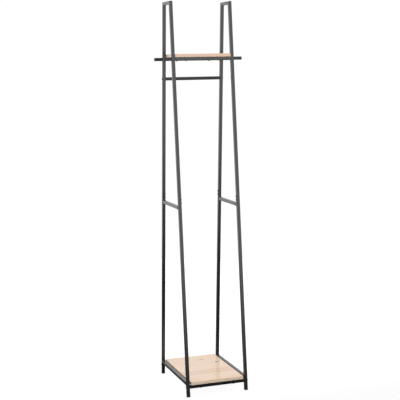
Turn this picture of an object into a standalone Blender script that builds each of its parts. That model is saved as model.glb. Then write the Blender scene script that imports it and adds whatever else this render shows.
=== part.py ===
"""Hall tree with hooks: two A-shaped side frames of square steel tube, two wood boards,
a hanging rail and four straight hooks.

Units are metres. +Z is up, the front of the hall tree faces -Y, and the origin is on the
floor in the middle of the four feet.
"""

import math

import bmesh
import bpy
from mathutils import Vector

# Driving dimensions of the whole object.
HEIGHT = 1.800            # floor to the top of the side frames
FRAME_PITCH = 0.284       # between the centre planes of the two side frames
FLOOR_SPREAD = 0.396      # front to rear leg centre lines at the floor
TOP_SPREAD = 0.097        # front to rear leg centre lines at the top
SEAM_HEIGHT = 0.8745      # where the upper section stands on the lower one

# Heights of the centre lines of the pieces that tie the frames together.
BASE_RAIL_HEIGHT = 0.046
SIDE_RAIL_HEIGHT = 0.060
HANGING_RAIL_HEIGHT = 1.450
SHELF_BAR_HEIGHT = 1.540

# Square steel tube.
TUBE = 0.015
WALL = 0.0012
CORNER = 0.0020           # radius of the tube's outer corners
PLATE = 0.003             # end plates of the rails, bars and hooks
GAP = 0.0003              # space kept between pieces that touch

# Spigots inside the seam of each leg.
SPIGOT_WALL = 0.0015
SPIGOT_REACH = 0.060      # into each section
JOINT_BOLT_OFFSETS = {"low": 0.014, "high": 0.030}   # above the seam, along the height

# Boards.
BOARD = 0.015
BOARD_EDGE = 0.0012       # rounding of a board's edges
BASE_BOARD_CLEARANCE = 0.0065
SHELF_BOARD_CLEARANCE = 0.001

# Hooks, their caps, and the feet.
HOOK_REACH = 0.0385       # beyond the outer face of the leg, cap included
CAP_FLANGE = 0.003
CAP_STEM = 0.008
CAP_EDGE = 0.0010
FOOT_FLANGE = 0.003
FOOT_STEM = 0.014
FOOT_OVERHANG = 0.0003    # the foot's flange past the tube on each side

# Button-head bolts and pan-head screws.
BOLT_RADIUS = 0.0025
BOLT_HEAD_RADIUS = 0.00475
BOLT_HEAD = 0.0027
SOCKET_WIDTH = 0.003      # across the flats of the hexagon socket
SOCKET_DEPTH = 0.0015
JOINT_BOLT_LENGTH = 0.008
RAIL_BOLT_LENGTH = 0.024
HOOK_STUD_LENGTH = 0.024  # through the leg and into the end plate of the shelf bar
BOLT_DOME_DEGREES = (60, 40, 20, 0)   # points on the round of the head, from its flat top down
SCREW_RADIUS = 0.0020
SCREW_TIP_RADIUS = 0.0008
SCREW_HEAD_RADIUS = 0.0040
SCREW_HEAD_FLAT_RADIUS = 0.0032
SCREW_HEAD = 0.0022
SCREW_IN_WOOD = 0.010
SCREW_OFFSET = 0.080      # of the two screws of a board from the middle of each rail or bar
TURNED_STEPS = 16
CREASE = math.radians(40)  # flat faces that meet at more than this stay crisp

HALF_TUBE = TUBE / 2
HALF_PITCH = FRAME_PITCH / 2
INNER_FACE = HALF_PITCH - HALF_TUBE
OUTER_FACE = HALF_PITCH + HALF_TUBE
TOP_LINE = HEIGHT - HALF_TUBE
LEAN = math.atan((FLOOR_SPREAD - TOP_SPREAD) / 2 / HEIGHT)
SIDES = {"left": -1, "right": 1}
LEGS = {"front": -1, "rear": 1}
LEVEL = (0.0, 1.0)        # (y, z) normal of a level cut
UPRIGHT = (0.0, 0.0, 0.0)
ALONG_X = (0.0, math.pi / 2, 0.0)

POWDER_COAT = ("black_powder_coat", (0.035, 0.036, 0.035, 1.0), 0.45, 0.0)
FASTENER_BLACK = ("black_fastener", (0.012, 0.012, 0.012, 1.0), 0.35, 0.6)
PLASTIC = ("black_plastic", (0.015, 0.015, 0.015, 1.0), 0.55, 0.0)
WOOD = ("light_wood", (0.72, 0.58, 0.45, 1.0), 0.55, 0.0)


def clear_scene():
    """Remove every object, so that the model starts from nothing."""
    for old in list(bpy.data.objects):
        bpy.data.objects.remove(old, do_unlink=True)


def new_collection(name):
    collection = bpy.data.collections.new(name)
    bpy.context.scene.collection.children.link(collection)
    return collection


def new_material(finish):
    """A Principled material from a finish: its name, colour, roughness and metallic value."""
    name, colour, roughness, metallic = finish
    material = bpy.data.materials.new(name)
    material.use_nodes = True
    shader = material.node_tree.nodes["Principled BSDF"]
    shader.inputs["Base Color"].default_value = colour
    shader.inputs["Roughness"].default_value = roughness
    shader.inputs["Metallic"].default_value = metallic
    return material


def add_part(name, mesh_builder, finish, location, rotation=UPRIGHT, parent=None):
    """Put a bmesh into a named object of the hall tree."""
    mesh = bpy.data.meshes.new(name)
    mesh_builder.to_mesh(mesh)
    mesh_builder.free()
    mesh.materials.append(new_material(finish))
    part = bpy.data.objects.new(name, mesh)
    part.location = location
    part.rotation_euler = rotation
    part.parent = parent
    PARTS.objects.link(part)
    return part


def add_cutter(name, mesh_builder, location, rotation=UPRIGHT, parent=None):
    """Put a bmesh into a hidden object that only cuts others or is joined to one."""
    mesh = bpy.data.meshes.new(name)
    mesh_builder.to_mesh(mesh)
    mesh_builder.free()
    cutter = bpy.data.objects.new(name, mesh)
    cutter.location = location
    cutter.rotation_euler = rotation
    cutter.parent = parent
    cutter.hide_render = True
    cutter.display_type = "WIRE"
    CUTTERS.objects.link(cutter)
    return cutter


def cut(part, cutter):
    modifier = part.modifiers.new("cut_" + cutter.name, "BOOLEAN")
    modifier.operation = "DIFFERENCE"
    modifier.object = cutter


def join(part, addition):
    modifier = part.modifiers.new("join_" + addition.name, "BOOLEAN")
    modifier.operation = "UNION"
    modifier.object = addition


def smooth_round_faces(part):
    """Shade the round faces smooth and keep the flat ones crisp."""
    part.data.shade_smooth()
    part.data.set_sharp_from_angle(angle=CREASE)


def leg_offset(height):
    """Distance of a leg's centre line from the middle plane at a height above the floor."""
    return FLOOR_SPREAD / 2 - height * math.tan(LEAN)


def rounded_prism(mesh_builder, width, length, radius):
    """A square bar along Z, centred, with its four long edges rounded."""
    made = bmesh.ops.create_cube(mesh_builder, size=1.0)
    bmesh.ops.scale(mesh_builder, vec=(width, width, length), verts=made["verts"])
    edges = {edge for vert in made["verts"] for edge in vert.link_edges}
    long_edges = [edge for edge in edges if abs(edge.verts[0].co.z - edge.verts[1].co.z) > length / 2]
    bmesh.ops.bevel(mesh_builder, geom=long_edges, offset=radius, segments=2,
                    affect="EDGES", profile=0.5)
    mesh_builder.normal_update()


def push_inner_face(mesh_builder, faces, margin, shift):
    """Inset an end face by a margin, and push what is left of it along a vector."""
    bmesh.ops.inset_region(mesh_builder, faces=faces, thickness=margin, use_even_offset=True)
    pushed = bmesh.ops.extrude_face_region(mesh_builder, geom=faces)
    bmesh.ops.delete(mesh_builder, geom=faces, context="FACES_ONLY")
    moved = [item for item in pushed["geom"] if isinstance(item, bmesh.types.BMVert)]
    bmesh.ops.translate(mesh_builder, vec=shift, verts=moved)


def tube_mesh(width, wall, length, low_slope=0.0, high_slope=0.0):
    """A square tube along Z with open ends. Each end is cut by a plane that rises
    by its slope along Y."""
    mesh_builder = bmesh.new()
    rounded_prism(mesh_builder, width, length, CORNER)
    ends = [face for face in mesh_builder.faces if abs(face.normal.z) > 0.9]
    bmesh.ops.inset_individual(mesh_builder, faces=ends, thickness=wall, use_even_offset=True)
    rims = {edge for face in ends for edge in face.edges}
    bmesh.ops.delete(mesh_builder, geom=ends, context="FACES_ONLY")
    bmesh.ops.bridge_loops(mesh_builder, edges=list(rims))
    bmesh.ops.recalc_face_normals(mesh_builder, faces=mesh_builder.faces)
    for vert in mesh_builder.verts:
        slope = high_slope if vert.co.z > 0.0 else low_slope
        vert.co.z += slope * vert.co.y
    return mesh_builder


def cylinder_mesh(radius, length, sides=TURNED_STEPS):
    mesh_builder = bmesh.new()
    bmesh.ops.create_cone(mesh_builder, cap_ends=True, segments=sides,
                          radius1=radius, radius2=radius, depth=length)
    return mesh_builder


def box_mesh(size):
    mesh_builder = bmesh.new()
    made = bmesh.ops.create_cube(mesh_builder, size=1.0)
    bmesh.ops.scale(mesh_builder, vec=size, verts=made["verts"])
    return mesh_builder


def drill(part, where, rotation, shank_radius, length):
    """Drill a clearance hole for a shank, centred on a point of the assembly."""
    name = "drill_{}_{}".format(part.name, len(part.modifiers))
    cut(part, add_cutter(name, cylinder_mesh(shank_radius + GAP, length), where, rotation))


def frame_member(name, low, high, low_normal, high_normal, parent):
    """A tube in a side frame's plane, between two (y, z) points on its centre line.
    The cut at each end lies in the plane with that (y, z) normal."""
    run = Vector(high) - Vector(low)
    angle = math.atan2(-run.x, run.y)
    slopes = []
    for normal in (low_normal, high_normal):
        across = math.cos(angle) * normal[0] + math.sin(angle) * normal[1]
        along = math.cos(angle) * normal[1] - math.sin(angle) * normal[0]
        slopes.append(-across / along)
    middle = (Vector(low) + Vector(high)) / 2
    part = add_part(name, tube_mesh(TUBE, WALL, run.length, *slopes), POWDER_COAT,
                    (0.0, middle.x, middle.y), (angle, 0.0, 0.0), parent)
    smooth_round_faces(part)
    return part


def bolt(name, where, rotation, length, parent=None):
    """A button-head bolt. Its shank runs down -Z from the point under its head."""
    dome = [(BOLT_HEAD_RADIUS * math.cos(math.radians(degrees)),
             BOLT_HEAD * math.sin(math.radians(degrees))) for degrees in BOLT_DOME_DEGREES]
    flat_top = dome[0][1]
    outline = [(0.0, flat_top), *dome, (BOLT_RADIUS, 0.0), (BOLT_RADIUS, -length), (0.0, -length)]
    part = turned(name, outline, FASTENER_BLACK, where, rotation, parent)
    socket = cylinder_mesh(SOCKET_WIDTH / math.sqrt(3), 2 * SOCKET_DEPTH, sides=6)
    bmesh.ops.translate(socket, vec=(0.0, 0.0, flat_top), verts=socket.verts)
    cut(part, add_cutter("socket_" + name, socket, where, rotation, parent))


def turned(name, outline, finish, where, rotation, parent):
    """Turn an outline of (radius, height) points, given from the top down, about Z."""
    profile = bmesh.new()
    points = [profile.verts.new((radius, 0.0, height)) for radius, height in outline]
    for upper, lower in zip(points, points[1:]):
        profile.edges.new((upper, lower))
    part = add_part(name, profile, finish, where, rotation, parent)
    screw = part.modifiers.new("turn", "SCREW")
    screw.steps = TURNED_STEPS
    screw.render_steps = TURNED_STEPS
    screw.use_merge_vertices = True
    screw.merge_threshold = 0.00001
    screw.use_smooth_shade = True
    return part


def point_away(side):
    """The rotation that turns +Z to point out of a side frame, away from the middle."""
    return (0.0, side * math.pi / 2, 0.0)


def side_frame(side_name, side):
    """One welded side frame in two sections, with its spigots, feet and joint bolts."""
    frame = bpy.data.objects.new(side_name + "_side_frame", None)
    frame.location = (side * HALF_PITCH, 0.0, 0.0)
    PARTS.objects.link(frame)
    for leg_name, leg in LEGS.items():
        upper_leg(side_name, leg_name, leg, frame)
        lower_leg(side_name, leg_name, leg, frame)
        spigot(side_name, leg_name, leg, frame)
        foot(side_name, leg_name, leg, frame)
        for place, offset in JOINT_BOLT_OFFSETS.items():
            joint_bolt(side_name, side, leg_name, leg, place, offset, frame)
    top_rung(side_name, frame)
    for name, height in (("mid_rung", SEAM_HEIGHT - HALF_TUBE), ("base_side_rail", SIDE_RAIL_HEIGHT)):
        butt_rung("{}_{}".format(side_name, name), height, frame)


def mitre_normal(leg):
    """Normal of the plane that halves the corner between a leg and the top rung."""
    down_leg = Vector((leg * math.sin(LEAN), -math.cos(LEAN)))
    along_rung = Vector((-leg, 0.0))
    return tuple(along_rung - down_leg)


def upper_leg(side_name, leg_name, leg, frame):
    """From the seam to the mitred corner at the top."""
    low = (leg * leg_offset(SEAM_HEIGHT + GAP), SEAM_HEIGHT + GAP)
    high = (leg * leg_offset(TOP_LINE), TOP_LINE)
    name = "{}_upper_{}_leg".format(side_name, leg_name)
    frame_member(name, low, high, LEVEL, mitre_normal(leg), frame)


def lower_leg(side_name, leg_name, leg, frame):
    """From the foot to the seam."""
    low = (leg * leg_offset(FOOT_FLANGE + GAP), FOOT_FLANGE + GAP)
    high = (leg * leg_offset(SEAM_HEIGHT), SEAM_HEIGHT)
    name = "{}_lower_{}_leg".format(side_name, leg_name)
    frame_member(name, low, high, LEVEL, LEVEL, frame)


def top_rung(side_name, frame):
    """The top rung, mitred to both upper legs."""
    end = leg_offset(TOP_LINE) - GAP
    frame_member(side_name + "_top_rung", (-end, TOP_LINE), (end, TOP_LINE),
                 mitre_normal(-1), mitre_normal(1), frame)


def butt_rung(name, height, frame):
    """A level rung between the two legs, its ends cut to the legs' lean."""
    end = leg_offset(height) - HALF_TUBE / math.cos(LEAN) - GAP
    front_normal = (math.cos(LEAN), -math.sin(LEAN))
    rear_normal = (math.cos(LEAN), math.sin(LEAN))
    frame_member(name, (-end, height), (end, height), front_normal, rear_normal, frame)


def spigot(side_name, leg_name, leg, frame):
    """The inner tube that joins the two sections of a leg."""
    width = TUBE - 2 * WALL - 2 * GAP
    part = add_part("{}_{}_spigot".format(side_name, leg_name),
                    tube_mesh(width, SPIGOT_WALL, 2 * SPIGOT_REACH), FASTENER_BLACK,
                    (0.0, leg * leg_offset(SEAM_HEIGHT), SEAM_HEIGHT), (leg * LEAN, 0.0, 0.0), frame)
    smooth_round_faces(part)


def foot(side_name, leg_name, leg, frame):
    """A plastic foot: a flange under the leg and a stem that leans into its tube."""
    mesh_builder = bmesh.new()
    rounded_prism(mesh_builder, TUBE + 2 * FOOT_OVERHANG, FOOT_FLANGE, CORNER)
    top = [face for face in mesh_builder.faces if face.normal.z > 0.9]
    lean = -leg * FOOT_STEM * math.tan(LEAN)
    push_inner_face(mesh_builder, top, FOOT_OVERHANG + WALL + GAP, (0.0, lean, FOOT_STEM))
    where = (0.0, leg * leg_offset(FOOT_FLANGE), FOOT_FLANGE / 2)
    add_part("{}_{}_foot".format(side_name, leg_name), mesh_builder, PLASTIC, where, parent=frame)


def joint_bolt(side_name, side, leg_name, leg, place, offset, frame):
    """A bolt on the inner face, through the upper leg's wall into the spigot."""
    height = SEAM_HEIGHT + offset
    along_y = leg * leg_offset(height)
    name = "{}_{}_joint_bolt_{}".format(side_name, leg_name, place)
    bolt(name, (-side * (HALF_TUBE + GAP), along_y, height), point_away(-side), JOINT_BOLT_LENGTH, frame)
    drill_at = (side * INNER_FACE, along_y, height)
    for target in ("{}_upper_{}_leg", "{}_{}_spigot"):
        drill(PARTS.objects[target.format(side_name, leg_name)], drill_at, ALONG_X, BOLT_RADIUS, TUBE)


def cross_rail(name, along_y, height):
    """A rail between the side frames: a tube closed by a drilled plate at each end."""
    length = 2 * (INNER_FACE - GAP)
    outer = bmesh.new()
    rounded_prism(outer, TUBE, length, CORNER)
    rail = add_part(name, outer, POWDER_COAT, (0.0, along_y, height), ALONG_X, ORIGIN)
    hollow = bmesh.new()
    rounded_prism(hollow, TUBE - 2 * WALL, length - 2 * PLATE, CORNER - WALL / 2)
    cut(rail, add_cutter("hollow_" + name, hollow, (0.0, along_y, height), ALONG_X))
    drill(rail, (0.0, along_y, height), ALONG_X, BOLT_RADIUS, length + PLATE)
    smooth_round_faces(rail)
    return rail


def rail_bolts(rail_name, leg_name, height):
    """A bolt at each end of a rail, from the outer face through the leg into the rail."""
    leg = LEGS[leg_name]
    section = "lower" if height < SEAM_HEIGHT else "upper"
    along_y = leg * leg_offset(height)
    for side_name, side in SIDES.items():
        where = (side * (OUTER_FACE + GAP), along_y, height)
        bolt("{}_{}_bolt".format(side_name, rail_name), where, point_away(side), RAIL_BOLT_LENGTH, ORIGIN)
        leg_tube = PARTS.objects["{}_{}_{}_leg".format(side_name, section, leg_name)]
        drill(leg_tube, (side * HALF_PITCH, along_y, height), ALONG_X, BOLT_RADIUS, 2 * TUBE)


def board(name, size_x, size_y, underside):
    part = add_part(name, box_mesh((size_x, size_y, BOARD)), WOOD,
                    (0.0, 0.0, underside + BOARD / 2), parent=ORIGIN)
    edges = part.modifiers.new("rounded_edges", "BEVEL")
    edges.width = BOARD_EDGE
    edges.segments = 2
    return part


def board_screw(name, rail, wood, along_x, along_y, rail_height):
    """A screw from under a rail, up through it and into the board."""
    length = TUBE + GAP + SCREW_IN_WOOD
    outline = [
        (0.0, length),
        (SCREW_TIP_RADIUS, length),
        (SCREW_RADIUS, length - 2 * SCREW_RADIUS),
        (SCREW_RADIUS, 0.0),
        (SCREW_HEAD_RADIUS, 0.0),
        (SCREW_HEAD_FLAT_RADIUS, -SCREW_HEAD),
        (0.0, -SCREW_HEAD),
    ]
    where = (along_x, along_y, rail_height - HALF_TUBE - GAP)
    turned(name, outline, FASTENER_BLACK, where, UPRIGHT, ORIGIN)
    drill(rail, (along_x, along_y, rail_height), UPRIGHT, SCREW_RADIUS, 2 * TUBE)
    pilot_hole = SCREW_IN_WOOD + GAP
    underside = rail_height + HALF_TUBE + GAP
    drill(wood, (along_x, along_y, underside), UPRIGHT, SCREW_RADIUS, 2 * pilot_hole)


def hook(side_name, side, leg_name):
    """A hook: a short tube with a plate and a stud at the leg, and a cap at its outer end."""
    leg = LEGS[leg_name]
    along_y = leg * leg_offset(SHELF_BAR_HEIGHT)
    length = HOOK_REACH - CAP_FLANGE - 2 * GAP
    tube = bmesh.new()
    rounded_prism(tube, TUBE, length, CORNER)
    mouth = [face for face in tube.faces if face.normal.z > 0.9]
    push_inner_face(tube, mouth, WALL, (0.0, 0.0, PLATE - length))
    bmesh.ops.recalc_face_normals(tube, faces=tube.faces)
    name = "{}_{}_hook".format(side_name, leg_name)
    middle = side * (OUTER_FACE + GAP + length / 2)
    part = add_part(name, tube, POWDER_COAT, (middle, along_y, SHELF_BAR_HEIGHT), point_away(side), ORIGIN)
    smooth_round_faces(part)
    stud = cylinder_mesh(BOLT_RADIUS, HOOK_STUD_LENGTH + PLATE / 2)
    stud_middle = side * (OUTER_FACE + GAP + PLATE / 4 - HOOK_STUD_LENGTH / 2)
    join(part, add_cutter(name + "_stud", stud, (stud_middle, along_y, SHELF_BAR_HEIGHT), ALONG_X))
    leg_tube = PARTS.objects["{}_upper_{}_leg".format(side_name, leg_name)]
    drill(leg_tube, (side * HALF_PITCH, along_y, SHELF_BAR_HEIGHT), ALONG_X, BOLT_RADIUS, 2 * TUBE)
    hook_cap(name + "_cap", side, along_y)


def hook_cap(name, side, along_y):
    """A plastic cap: a rounded flange over the hook's end and a stem inside it."""
    cap = bmesh.new()
    rounded_prism(cap, TUBE, CAP_FLANGE, CORNER)
    rim = [edge for edge in cap.edges if all(vert.co.z > 0.0 for vert in edge.verts)]
    bmesh.ops.bevel(cap, geom=rim, offset=CAP_EDGE, segments=2, affect="EDGES", profile=0.5)
    inner = [face for face in cap.faces if face.normal.z < -0.9]
    push_inner_face(cap, inner, WALL + GAP, (0.0, 0.0, -CAP_STEM))
    where = (side * (OUTER_FACE + HOOK_REACH - CAP_FLANGE / 2), along_y, SHELF_BAR_HEIGHT)
    part = add_part(name, cap, PLASTIC, where, point_away(side), ORIGIN)
    smooth_round_faces(part)


def base():
    """The two base rails and the board on them."""
    board_depth = 2 * (leg_offset(BASE_RAIL_HEIGHT) + HALF_TUBE)
    underside = BASE_RAIL_HEIGHT + HALF_TUBE + GAP
    wood = board("base_board", 2 * (INNER_FACE - BASE_BOARD_CLEARANCE), board_depth, underside)
    for leg_name, leg in LEGS.items():
        along_y = leg * leg_offset(BASE_RAIL_HEIGHT)
        name = "base_{}_rail".format(leg_name)
        rail = cross_rail(name, along_y, BASE_RAIL_HEIGHT)
        rail_bolts(name, leg_name, BASE_RAIL_HEIGHT)
        for side_name, side in SIDES.items():
            screw_name = "base_board_{}_{}_screw".format(leg_name, side_name)
            board_screw(screw_name, rail, wood, side * SCREW_OFFSET, along_y, BASE_RAIL_HEIGHT)


def shelf():
    """The two shelf bars, the board on them, and the four hooks in line with them."""
    board_depth = 2 * (leg_offset(SHELF_BAR_HEIGHT) + HALF_TUBE)
    underside = SHELF_BAR_HEIGHT + HALF_TUBE + GAP
    wood = board("shelf_board", 2 * (INNER_FACE - SHELF_BOARD_CLEARANCE), board_depth, underside)
    for leg_name, leg in LEGS.items():
        along_y = leg * leg_offset(SHELF_BAR_HEIGHT)
        bar = cross_rail("shelf_{}_bar".format(leg_name), along_y, SHELF_BAR_HEIGHT)
        for side_name, side in SIDES.items():
            screw_name = "shelf_board_{}_{}_screw".format(leg_name, side_name)
            board_screw(screw_name, bar, wood, side * SCREW_OFFSET, along_y, SHELF_BAR_HEIGHT)
            hook(side_name, side, leg_name)


def hanging_rail():
    cross_rail("hanging_rail", leg_offset(HANGING_RAIL_HEIGHT), HANGING_RAIL_HEIGHT)
    rail_bolts("hanging_rail", "rear", HANGING_RAIL_HEIGHT)


clear_scene()
PARTS = new_collection("hall_tree_with_hooks")
CUTTERS = new_collection("cutters")
ORIGIN = bpy.data.objects.new("hall_tree_origin", None)
PARTS.objects.link(ORIGIN)

for frame_name, frame_side in SIDES.items():
    side_frame(frame_name, frame_side)
base()
shelf()
hanging_rail()
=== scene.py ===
# %% [markdown]
# # A hall tree with hooks
#
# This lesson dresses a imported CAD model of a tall, narrow hall tree: two A-shaped side frames
# of square steel tube, a low board, a small high shelf, a hanging rail and four straight hooks.
# Where everything goes is already settled by the CAD. What is left to make is how it looks:
# softly rounded tube corners, weld beads, bolts, plastic ends, powder coat and varnished wood.
#
# Units are metres. +Z is up and the front faces -Y.

import math

import bmesh
import bpy
from mathutils import Matrix, Vector


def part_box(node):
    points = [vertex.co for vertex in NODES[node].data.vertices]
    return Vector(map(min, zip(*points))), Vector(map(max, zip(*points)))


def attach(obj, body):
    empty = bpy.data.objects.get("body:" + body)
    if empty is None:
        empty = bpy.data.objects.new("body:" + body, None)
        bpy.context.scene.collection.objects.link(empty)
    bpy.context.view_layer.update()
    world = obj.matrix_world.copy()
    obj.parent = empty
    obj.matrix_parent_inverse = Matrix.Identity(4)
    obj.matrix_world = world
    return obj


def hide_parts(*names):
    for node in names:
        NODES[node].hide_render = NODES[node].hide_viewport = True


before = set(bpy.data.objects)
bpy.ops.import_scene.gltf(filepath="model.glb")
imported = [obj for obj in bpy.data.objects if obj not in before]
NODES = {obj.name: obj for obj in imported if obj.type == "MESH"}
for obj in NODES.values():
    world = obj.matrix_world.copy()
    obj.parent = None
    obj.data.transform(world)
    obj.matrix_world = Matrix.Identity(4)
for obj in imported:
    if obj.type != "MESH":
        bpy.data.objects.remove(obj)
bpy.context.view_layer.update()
SIDES = {"left": -1, "right": 1}
LEGS = {"front": -1, "rear": 1}
print("loaded", len(NODES), "CAD nodes")

# %% [markdown]
# ## Measures
#
# Nearly every measure is read off the boxes of the CAD nodes, so the looks can't drift away from
# the model. The lean of the legs is not a side of any box. A leg cut level at both ends spans
# its run along Y plus one tube width, and that width is itself divided by the cosine of the lean,
# so three rounds of the sum are enough to settle it.

# %% Measures
leg_low, leg_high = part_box("left_lower_front_leg")
TUBE = leg_high.x - leg_low.x
HALF_TUBE = TUBE / 2
HALF_PITCH = -(leg_low.x + leg_high.x) / 2
INNER_FACE = HALF_PITCH - HALF_TUBE
OUTER_FACE = HALF_PITCH + HALF_TUBE
LEAN = 0.0
for _ in range(3):
    run_along_y = leg_high.y - leg_low.y - TUBE / math.cos(LEAN)
    LEAN = math.atan(run_along_y / (leg_high.z - leg_low.z))
HALF_CUT = HALF_TUBE / math.cos(LEAN)     # half of a leg's width where it is cut level
LEG_FOOT = leg_low.z
SEAM = leg_high.z
TOP_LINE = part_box("left_top_rung")[1].z - HALF_TUBE


def middle_height(node):
    low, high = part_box(node)
    return (low.z + high.z) / 2


def leg_offset(height):
    """Distance of a leg's centre line from the middle plane at a height above the floor."""
    return -leg_low.y - HALF_CUT - (height - leg_low.z) * math.tan(LEAN)


print("tube {:.1f} mm, lean {:.2f} degrees, seam at {:.1f} mm".format(
    TUBE * 1000, math.degrees(LEAN), SEAM * 1000))

# %% [markdown]
# ## Wiring helpers
#
# A shader is a graph of small nodes. A few helpers keep the graphs short to read: they add a node
# and fill or link its inputs, do a sum, blend two colours, map a range and open a node group with
# named sockets. An effect that several finishes share becomes such a group, so it is built once
# and tuned in each material.

# %% Wiring helpers
MILLIMETRE = 0.001
TOUCHING = 1e-6      # closer than this counts as the same place


def fill_inputs(tree, made, inputs):
    """Give each input of a node its value, or link it if it is given a socket."""
    for key, value in inputs.items():
        if isinstance(value, bpy.types.NodeSocket):
            tree.links.new(value, made.inputs[key])
        else:
            made.inputs[key].default_value = value


def add_node(tree, kind, inputs=None, **settings):
    made = tree.nodes.new("ShaderNode" + kind)
    for key, value in settings.items():
        setattr(made, key, value)
    fill_inputs(tree, made, inputs or {})
    return made


def calc(tree, operation, first, second=0.0):
    """One step of arithmetic."""
    return add_node(tree, "Math", {0: first, 1: second}, operation=operation).outputs[0]


def blend_colours(tree, share, first, second):
    """The first colour, with this share of the second."""
    return add_node(tree, "Mix", {0: share, 6: first, 7: second}, data_type="RGBA").outputs[2]


def spread(tree, value, low, high, to_low=0.0, to_high=1.0):
    """Map a range of values onto another, softly at both ends."""
    return add_node(tree, "MapRange", {0: value, 1: low, 2: high, 3: to_low, 4: to_high},
                    interpolation_type="SMOOTHSTEP").outputs[0]


def noise(tree, vector, size, detail=2.0, roughness=0.5, stretch=(1.0, 1.0, 1.0)):
    """Soft random values whose lumps are about this many metres across, drawn out along the axes."""
    scaled = add_node(tree, "Mapping", {"Vector": vector, "Scale": [1.0 / (size * s) for s in stretch]})
    return add_node(tree, "TexNoise", {"Vector": scaled.outputs[0], "Scale": 1.0, "Detail": detail,
                                       "Roughness": roughness}).outputs["Fac"]


def new_group(name, inputs, outputs):
    """A node group. Inputs are (name, type, default) and outputs are (name, type)."""
    tree = bpy.data.node_groups.new(name, "ShaderNodeTree")
    for label, kind, default in inputs:
        socket = tree.interface.new_socket(name=label, in_out="INPUT", socket_type="NodeSocket" + kind)
        if default is not None:
            socket.default_value = default
    for label, kind in outputs:
        tree.interface.new_socket(name=label, in_out="OUTPUT", socket_type="NodeSocket" + kind)
    return tree, tree.nodes.new("NodeGroupInput").outputs, tree.nodes.new("NodeGroupOutput")


def place_group(tree, group, inputs):
    made = tree.nodes.new("ShaderNodeGroup")
    made.node_tree = group
    fill_inputs(tree, made, inputs)
    return made.outputs


print("wiring helpers ready")

# %% [markdown]
# ## Shared effects
#
# Three things happen to every hard surface here. It has a fine grit of its own, its edges are
# a little brighter, partly from a thinner, rubbed coat and partly as a painted highlight, and dust
# settles on whatever faces up. Each becomes a group.
#
# The grit is noise at the true size of the grain, put out as a height for a bump and as a value
# that breaks up the gloss. The brighter edges, part rubbed coat and part painted highlight, could
# come from the Bevel or Pointiness nodes, but those depend on the mesh around them. Each mesh made
# below stores an `edge` attribute instead, 1 in the middle of a rounded corner and 0 on its flats,
# and the group breaks it up with noise.

# %% Grit, rubbed edges with painted highlight, and dust
grit_tree, grit_in, grit_out = new_group(
    "surface_grit",
    [("Vector", "Vector", None), ("Coarse Lumps", "Float", 0.35)],
    [("Height", "Float"), ("Mottle", "Float")])
fine_grains = noise(grit_tree, grit_in["Vector"], 0.35 * MILLIMETRE, detail=2.0)
coarse_grains = noise(grit_tree, grit_in["Vector"], 1.6 * MILLIMETRE, detail=3.0)
lumps = calc(grit_tree, "MULTIPLY", coarse_grains, grit_in["Coarse Lumps"])
grit_tree.links.new(calc(grit_tree, "ADD", fine_grains, lumps), grit_out.inputs["Height"])
cloudy = noise(grit_tree, grit_in["Vector"], 22 * MILLIMETRE, detail=4.0, roughness=0.6)
grit_tree.links.new(cloudy, grit_out.inputs["Mottle"])

# Painted highlight, partly real: the rounded corners are lightened toward a brighter colour, standing both
# for a thinner, rubbed coat and for a line of light along the edge.
edge_wear_and_highlight_tree, edge_wear_and_highlight_in, edge_wear_and_highlight_out = new_group(
    "rubbed_edges_and_painted_highlight",
    [("Vector", "Vector", None), ("Amount", "Float", 0.5)],
    [("Mask", "Float")])
edge_value = add_node(edge_wear_and_highlight_tree, "Attribute", attribute_name="edge").outputs["Fac"]
patches = spread(edge_wear_and_highlight_tree, noise(edge_wear_and_highlight_tree, edge_wear_and_highlight_in["Vector"], 9 * MILLIMETRE, detail=4.0), 0.35, 0.75)
rubbed_and_highlit = calc(edge_wear_and_highlight_tree, "MULTIPLY", calc(edge_wear_and_highlight_tree, "POWER", edge_value, 1.6), patches)
edge_wear_and_highlight_tree.links.new(calc(edge_wear_and_highlight_tree, "MULTIPLY", rubbed_and_highlit, edge_wear_and_highlight_in["Amount"]), edge_wear_and_highlight_out.inputs["Mask"])

dust_tree, dust_in, dust_out = new_group(
    "settled_dust",
    [("Vector", "Vector", None), ("Amount", "Float", 0.1)],
    [("Mask", "Float")])
facing = add_node(dust_tree, "NewGeometry").outputs["Normal"]
upward = add_node(dust_tree, "SeparateXYZ", {0: facing}).outputs["Z"]
specks = spread(dust_tree, noise(dust_tree, dust_in["Vector"], 3 * MILLIMETRE, detail=5.0, roughness=0.7),
                0.35, 0.8)
lying = calc(dust_tree, "MULTIPLY", spread(dust_tree, upward, 0.5, 1.0), specks)
dust_tree.links.new(calc(dust_tree, "MULTIPLY", lying, dust_in["Amount"]), dust_out.inputs["Mask"])
print("groups:", grit_tree.name, edge_wear_and_highlight_tree.name, dust_tree.name)

# %% [markdown]
# ## Painted steel, black plastic and black bolts
#
# All are near-black finishes that differ in their gloss and grain: powder coat has a fine
# orange-peel and a satin sheen, moulded plastic is duller and finer, and blackened bolts are
# the darkest and smoothest. Rails and hooks that are bolted on get a copy of the frames' coat that
# shines a little less and whose colour is a little darker, painted shade. One function makes all
# of them from a handful of values.

# %% Dark finishes
DUST_COLOUR = (0.32, 0.31, 0.29, 1.0)
DUST_DULLING = 0.3
GRIT_STRENGTH = 0.6
TONE_MOTTLE = 0.12      # share by which cloudy patches are darker or lighter
GLOSS_MOTTLE = 0.03


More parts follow.
